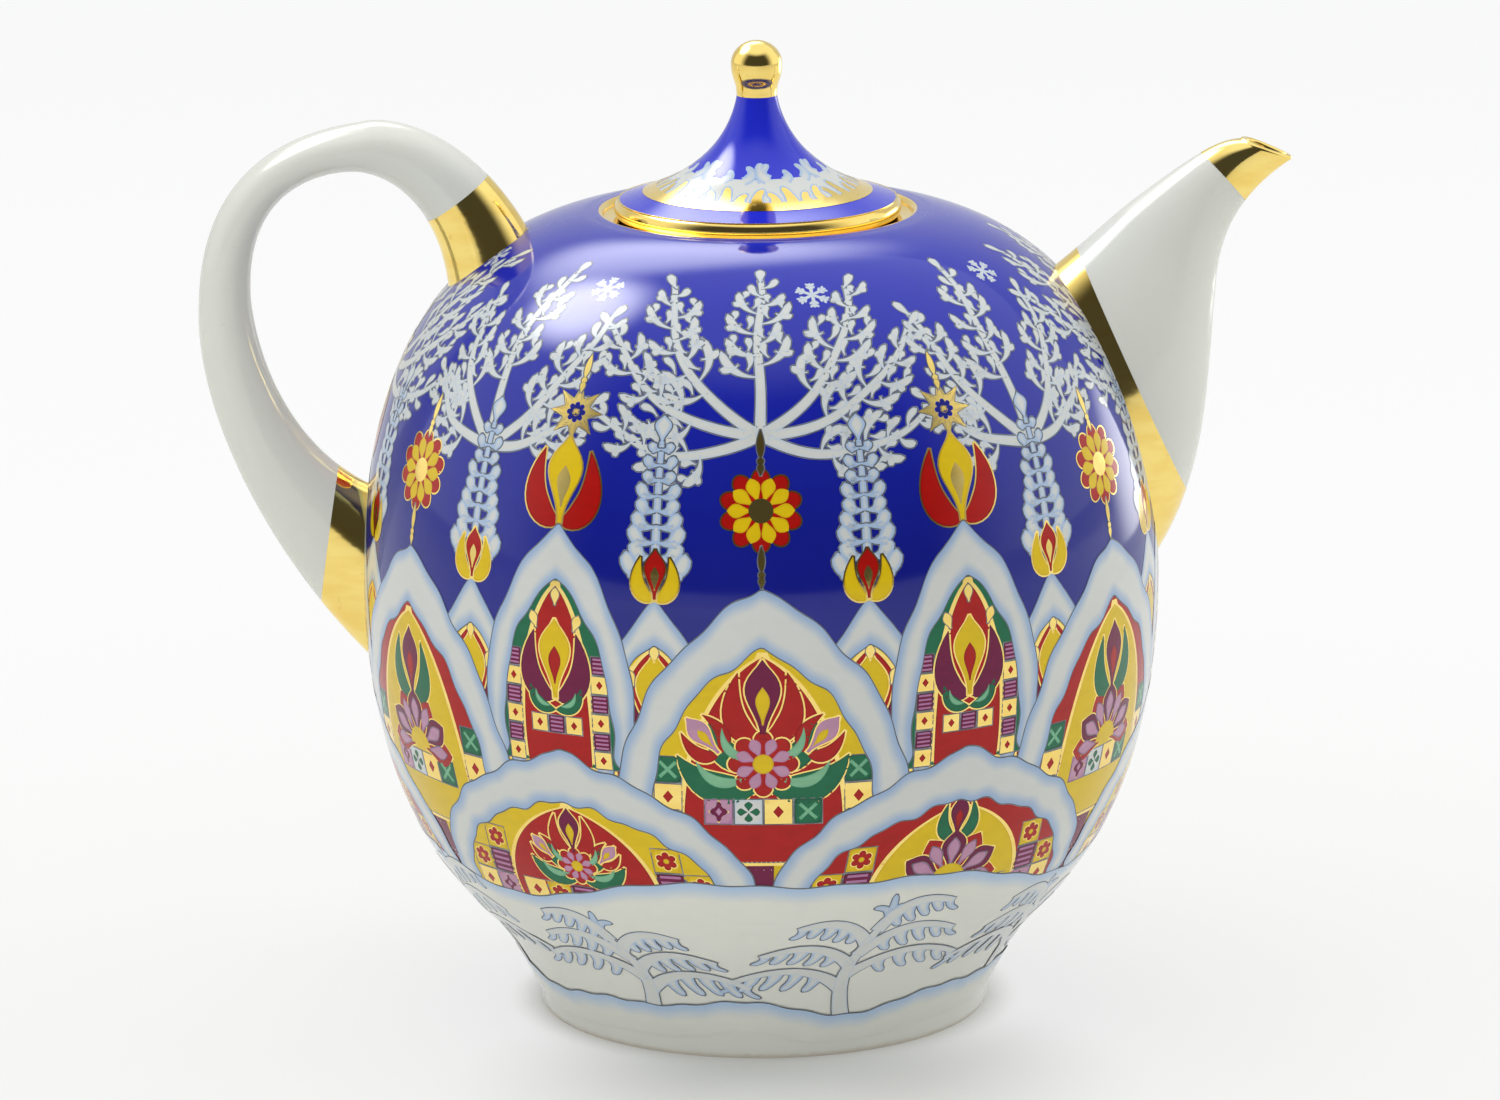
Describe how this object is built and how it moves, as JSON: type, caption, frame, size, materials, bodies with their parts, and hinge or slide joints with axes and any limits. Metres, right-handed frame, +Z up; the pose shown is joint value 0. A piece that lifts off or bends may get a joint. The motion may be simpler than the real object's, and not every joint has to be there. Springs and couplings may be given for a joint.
{
  "type": "porcelain teapot",
  "caption": "Large round-bellied porcelain teapot with a beaked spout, a loop handle and a lift-off lid with a pointed knob.",
  "frame": {"origin": "centre of the foot ring, on the surface that the pot stands on", "axes": "+Z up along the pot's turning axis, +X towards the spout, -X towards the handle"},
  "size_m": [0.2735, 0.2006, 0.2465],
  "materials": {
    "cobalt_glaze": "cobalt underglaze ground with white lace, enamel bands and a glossy clear glaze",
    "white_glaze": "glossy white porcelain",
    "gilding": "burnished gilding over glazed porcelain"
  },
  "bodies": {
    "pot": {"pot_body": "cobalt_glaze", "spout": "white_glaze", "handle": "white_glaze"},
    "lid": {"lid_cover": "cobalt_glaze", "lid_knob": "gilding"}
  },
  "joints": [
    {"name": "lid_lift", "type": "slide", "parent": "pot", "child": "lid", "axis": [0, 0, 1], "range_m": [0, 0.08]}
  ]
}
